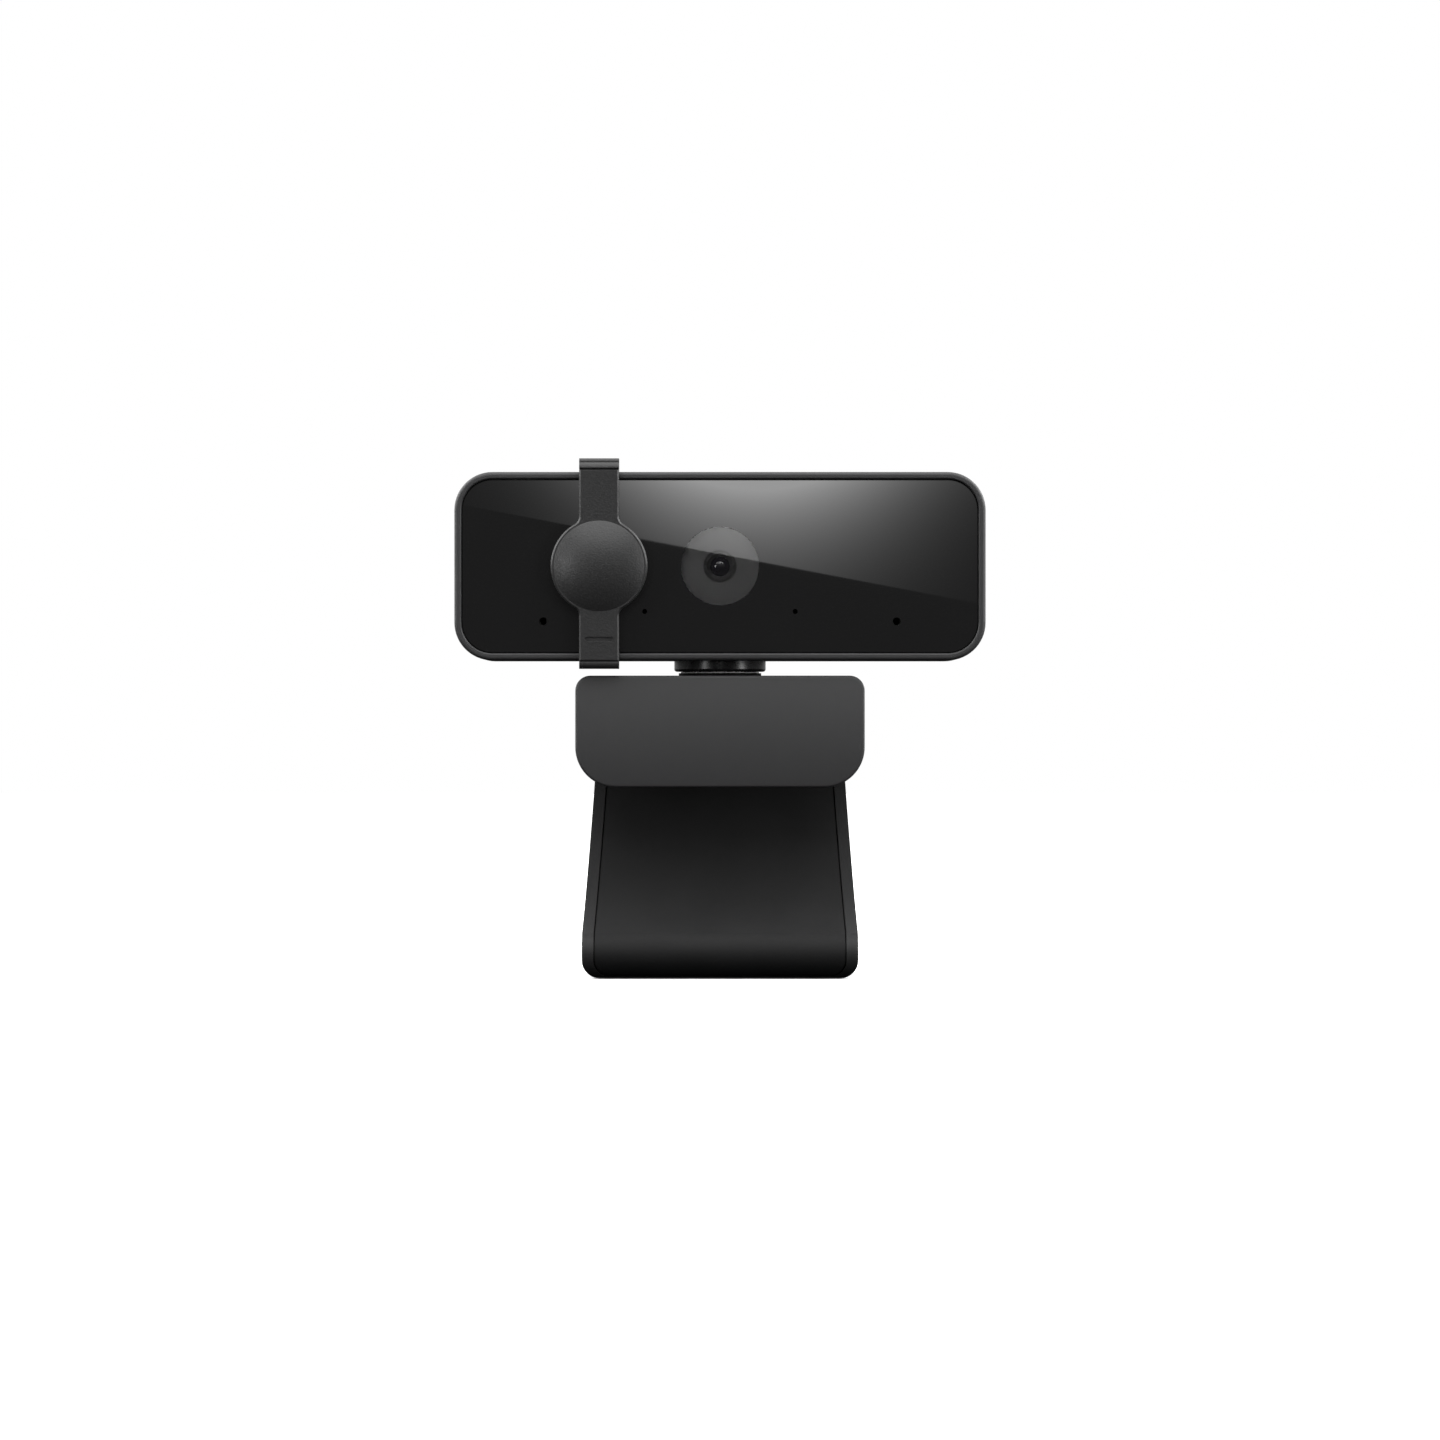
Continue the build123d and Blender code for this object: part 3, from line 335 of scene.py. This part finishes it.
def solder_mask(name):
    """Circuit board: dark green mask over raised copper tracks."""
    s = Shader(name)
    tracks = s.add("ShaderNodeTexBrick")
    tracks.inputs["Scale"].default_value = 1 / (9 * MM)
    tracks.inputs["Mortar Size"].default_value = 0.045
    tracks.inputs["Color1"].default_value = (0.004, 0.05, 0.022, 1)
    tracks.inputs["Color2"].default_value = (0.005, 0.06, 0.027, 1)
    tracks.inputs["Mortar"].default_value = (0.012, 0.12, 0.05, 1)
    flat = s.add("ShaderNodeMapping")
    flat.inputs["Rotation"].default_value = (math.radians(90), 0, 0)
    s.link(s.coords, flat.inputs["Vector"])
    s.link(flat.outputs[0], tracks.inputs["Vector"])
    s.feed("Base Color", tracks.outputs["Color"])
    s.feed("Normal", s.bump(tracks.outputs["Fac"], 0.03 * MM))
    s.feed("Roughness", s.spread(s.noise(3 * MM), 0.25, 0.4))
    return s.material


MATERIALS = {
    "case": moulded("case_plastic", (0.030, 0.030, 0.031), 0.50, 0.16 * MM, 0.010 * MM),
    "cover": grained("cover_plastic", (0.024, 0.024, 0.0243), 0.36),
    "clip": moulded("clip_plastic", (0.034, 0.034, 0.035), 0.52, 0.10 * MM, 0.004 * MM, 0.05),
    "leg": moulded(
        "leg_plastic", (0.017, 0.017, 0.0173), 0.52, 0.16 * MM, 0.008 * MM, specular=0.22
    ),
    "panel": rubber("soft_panel", (0.0095, 0.0095, 0.0097), 0.60, specular=0.15),
    "pad": rubber("pad_rubber", (0.016, 0.016, 0.016), 0.75, 0.3 * MM, 0.02 * MM),
    "shroud": rubber("shroud_rubber", (0.25, 0.25, 0.25), 0.70, 0.2 * MM, 0.01 * MM),
    "collar": polished("collar_plastic", (0.010, 0.010, 0.0105), 0.27),
    # Swivel base: its colour and specular are set below the collar's as painted shade, for the shade
    # it sits in under the head.
    "neck": polished("neck_plastic", (0.003, 0.003, 0.003), 0.55, specular=0.1),
    "felt": rubber("mic_felt", (0.004, 0.004, 0.004), 0.95, 0.1 * MM, 0.03 * MM),
    "glass": lens_window("front_glass"),
    "lens": coated_lens("lens_glass", (0.006, 0.004, 0.010), (0.020, 0.012, 0.040)),
    "filter": coated_lens("filter_glass", (0.02, 0.06, 0.07), (0.15, 0.03, 0.06)),
    "pipe": polished("smoked_plastic", (0.0015, 0.0015, 0.0015), 0.5, specular=0.05),
    "barrel": turned_barrel("barrel_plastic", (0.11, 0.11, 0.11)),
    "board": solder_mask("solder_mask"),
    "chip": moulded("chip_epoxy", (0.015, 0.015, 0.016), 0.45, 0.08 * MM, 0.004 * MM),
    "connector": moulded("connector_plastic", (0.60, 0.56, 0.47), 0.45, 0.2 * MM, 0.004 * MM),
    "ceramic": moulded("ceramic", (0.32, 0.24, 0.16), 0.55, 0.1 * MM, 0.004 * MM),
    "acetal": moulded("acetal", (0.70, 0.70, 0.68), 0.40, 0.2 * MM, 0.003 * MM),
    "tape": rubber("adhesive_tape", (0.02, 0.02, 0.02), 0.8),
    "steel": metal("steel", (0.50, 0.50, 0.51), 0.30, (1, 1, 8)),
    "nickel": metal("nickel", (0.62, 0.60, 0.56), 0.25),
    "black_steel": metal("black_steel", (0.06, 0.06, 0.065), 0.40),
    "brass": metal("brass", (0.72, 0.50, 0.20), 0.28, (1, 1, 8)),
}

DRESS = {
    "case": ["front_shell", "rear_shell"],
    "cover": ["privacy_cover"],
    "clip": ["clip_bracket"],
    "leg": ["leg_frame", "hinge_caps"],
    "panel": ["leg_panel"],
    "pad": ["cable_gland", "lip_pad", "arm_pad", "foot_pads", "mic_boots"],
    "shroud": ["lens_shroud"],
    "collar": ["swivel_collar"],
    "neck": ["swivel_base"],
    "glass": ["front_glass"],
    "lens": ["front_lens", "rear_lens"],
    "filter": ["ir_filter"],
    "pipe": ["light_pipes"],
    "barrel": ["lens_barrel", "lens_holder", "lens_spacer"],
    "board": ["main_board"],
    "chip": ["processor_chip", "memory_chip", "image_sensor"],
    "connector": ["cable_header", "indicator_leds"],
    "ceramic": ["chip_capacitors"],
    "acetal": ["friction_washer", "pivot_bush"],
    "tape": ["glass_tape"],
    "felt": ["mic_felts"],
    "steel": [
        "board_screws", "hinge_pin", "pivot_stud", "pressure_washer", "wave_washer", "pivot_nut",
    ],
    "nickel": ["mic_capsules", "clock_crystal"],
    "black_steel": ["case_screws"],
    "brass": ["tripod_insert", "friction_sleeves"],
}


def dress(node, material):
    """Gives a CAD node its finish."""
    slots = NODES[node].data.materials
    for index in range(len(slots)):
        slots[index] = material


for finish, nodes in DRESS.items():
    for node in nodes:
        dress(node, MATERIALS[finish])


# ---- Stage ------------------------------------------------------------------------------------
def stage_sheet(name, corners, material):
    """A flat sheet that isn't part of the object."""
    mesh = bpy.data.meshes.new(name)
    mesh.from_pydata([tuple(c) for c in corners], [], [tuple(range(len(corners)))])
    sheet = bpy.data.objects.new(name, mesh)
    bpy.context.scene.collection.objects.link(sheet)
    mesh.materials.append(material)
    return sheet


def floor():
    """A pale floor that takes the object's shadow and melts into the backdrop further out."""
    s = Shader("floor")
    paper = s.noise(40 * MM, detail=2.0)
    s.feed("Base Color", s.blend(paper, (0.93, 0.93, 0.93), (0.96, 0.96, 0.96)))
    s.set(Roughness=1.0, Specular_IOR_Level=0.0)
    s.principled.inputs["Emission Color"].default_value = (1, 1, 1, 1)
    away = s.add("ShaderNodeVectorMath", operation="LENGTH")
    s.link(s.coords, away.inputs[0])
    reach = away.outputs["Value"]
    s.feed("Emission Strength", s.spread(reach, FLOOR_GLOW_LEAST, 1.0, FLOOR_SHADED_R, FLOOR_WHITE_R))
    half = FLOOR_HALF
    corners = [(-half, -half, 0), (half, -half, 0), (half, half, 0), (-half, half, 0)]
    sheet = stage_sheet("floor", corners, s.material)
    sheet.visible_diffuse = False
    sheet.visible_glossy = False


def reflected_card():
    """A glowing card behind the camera that the front glass mirrors, with a slanted lower edge."""
    back = 2 * CAMERA_AWAY
    along = back / CAMERA_AWAY

    def mirrored(x, z):
        """Where the card has to be for the camera to see it at (x, z) on the glass."""
        return (x * (1 + along), GLASS_LOW.y - back, z + (z - CAMERA_HEIGHT) * along)

    left, right = GLASS_LOW.x * CARD_OVERHANG, GLASS_HIGH.x * CARD_OVERHANG
    top = GLASS_HIGH.z + CARD_ABOVE
    corners = [
        mirrored(left, CARD_MIDDLE_Z + CARD_SLOPE * left),
        mirrored(right, CARD_MIDDLE_Z + CARD_SLOPE * right),
        mirrored(right, top),
        mirrored(left, top),
    ]
    s = Shader("card_glow")
    peak = mirrored(CARD_PEAK_X, CARD_PEAK_Z)
    wide = CARD_FALL_X * (1 + along)
    high = CARD_FALL_Z * (1 + along)
    split = s.add("ShaderNodeSeparateXYZ")
    s.link(s.coords, split.inputs[0])
    aside = s.maths("DIVIDE", s.maths("SUBTRACT", split.outputs["X"], peak[0]), wide)
    below = s.maths("DIVIDE", s.maths("SUBTRACT", peak[2], split.outputs["Z"]), high)
    fall = s.maths("ADD", s.maths("MULTIPLY", aside, aside), below)
    glow = s.add("ShaderNodeEmission")
    bright = s.maths("EXPONENT", s.maths("MULTIPLY", fall, -1.0))
    s.link(s.spread(bright, *CARD_GLOW), glow.inputs["Strength"])
    s.link(glow.outputs[0], s.output.inputs["Surface"])
    card = stage_sheet("reflected_card", corners, s.material)
    card.visible_camera = False
    card.visible_shadow = False


def softbox(name, azimuth, elevation, width, height, power):
    """An area light aimed at the object."""
    turn, rise = math.radians(azimuth), math.radians(elevation)
    direction = Vector(
        (math.sin(turn) * math.cos(rise), -math.cos(turn) * math.cos(rise), math.sin(rise))
    )
    data = bpy.data.lights.new(name, "AREA")
    data.shape = "RECTANGLE"
    data.size = width
    data.size_y = height
    data.energy = power
    light = bpy.data.objects.new(name, data)
    light.location = MIDDLE + direction * LIGHT_AWAY
    light.rotation_mode = "QUATERNION"
    light.rotation_quaternion = direction.to_track_quat("Z", "Y")
    light.visible_camera = False
    bpy.context.scene.collection.objects.link(light)


def surroundings():
    """White backdrop for the camera; the object is lit by a room pale above, behind, at the sides."""
    world = bpy.data.worlds.new("room")
    bpy.context.scene.world = world
    world.use_nodes = True
    tree = world.node_tree
    tree.nodes.clear()

    def add(kind, **settings):
        node = tree.nodes.new(kind)
        for key, value in settings.items():
            setattr(node, key, value)
        return node

    def ramp(source, start, end, low, high):
        node = add("ShaderNodeMapRange")
        for name, value in zip(("From Min", "From Max", "To Min", "To Max"), (start, end, low, high)):
            node.inputs[name].default_value = value
        tree.links.new(source, node.inputs["Value"])
        return node.outputs["Result"]

    def combine(operation, a, b):
        node = add("ShaderNodeMath", operation=operation)
        tree.links.new(a, node.inputs[0])
        tree.links.new(b, node.inputs[1])
        return node.outputs[0]

    split = add("ShaderNodeSeparateXYZ")
    tree.links.new(add("ShaderNodeTexCoord").outputs["Generated"], split.inputs[0])
    sideways = add("ShaderNodeMath", operation="ABSOLUTE")
    tree.links.new(split.outputs["X"], sideways.inputs[0])
    above = ramp(split.outputs["Z"], *ROOM_ABOVE)
    behind = ramp(split.outputs["Y"], *ROOM_BEHIND)
    beside = ramp(sideways.outputs[0], *ROOM_BESIDE)
    over_floor = ramp(split.outputs["Z"], *ROOM_OVER_FLOOR)
    room = add("ShaderNodeBackground")
    walls = combine("ADD", behind, beside)
    strength = combine("MULTIPLY", over_floor, combine("ADD", above, walls))
    tree.links.new(strength, room.inputs["Strength"])
    white = add("ShaderNodeBackground")
    mix = add("ShaderNodeMixShader")
    tree.links.new(add("ShaderNodeLightPath").outputs["Is Camera Ray"], mix.inputs[0])
    tree.links.new(room.outputs[0], mix.inputs[1])
    tree.links.new(white.outputs[0], mix.inputs[2])
    tree.links.new(mix.outputs[0], add("ShaderNodeOutputWorld").inputs["Surface"])
    for shade in (room, white):
        shade.inputs["Color"].default_value = (1, 1, 1, 1)


def camera():
    """Level camera, straight in front, at the height of the clip."""
    data = bpy.data.cameras.new("camera")
    data.sensor_width = SENSOR
    data.lens = SENSOR * CAMERA_AWAY / VIEW_WIDTH
    data.clip_start = 10 * MM
    data.clip_end = 20.0
    shot = bpy.data.objects.new("camera", data)
    shot.location = (0, GLASS_LOW.y - CAMERA_AWAY, CAMERA_HEIGHT)
    shot.rotation_euler = (math.radians(90), 0, 0)
    bpy.context.scene.collection.objects.link(shot)
    bpy.context.scene.camera = shot


def picture_tone():
    settings = bpy.context.scene.view_settings
    settings.view_transform = "Standard"
    settings.look = "None"


floor()
reflected_card()
for light_name, settings in SOFTBOXES.items():
    softbox(light_name, *settings)
surroundings()
camera()
picture_tone()
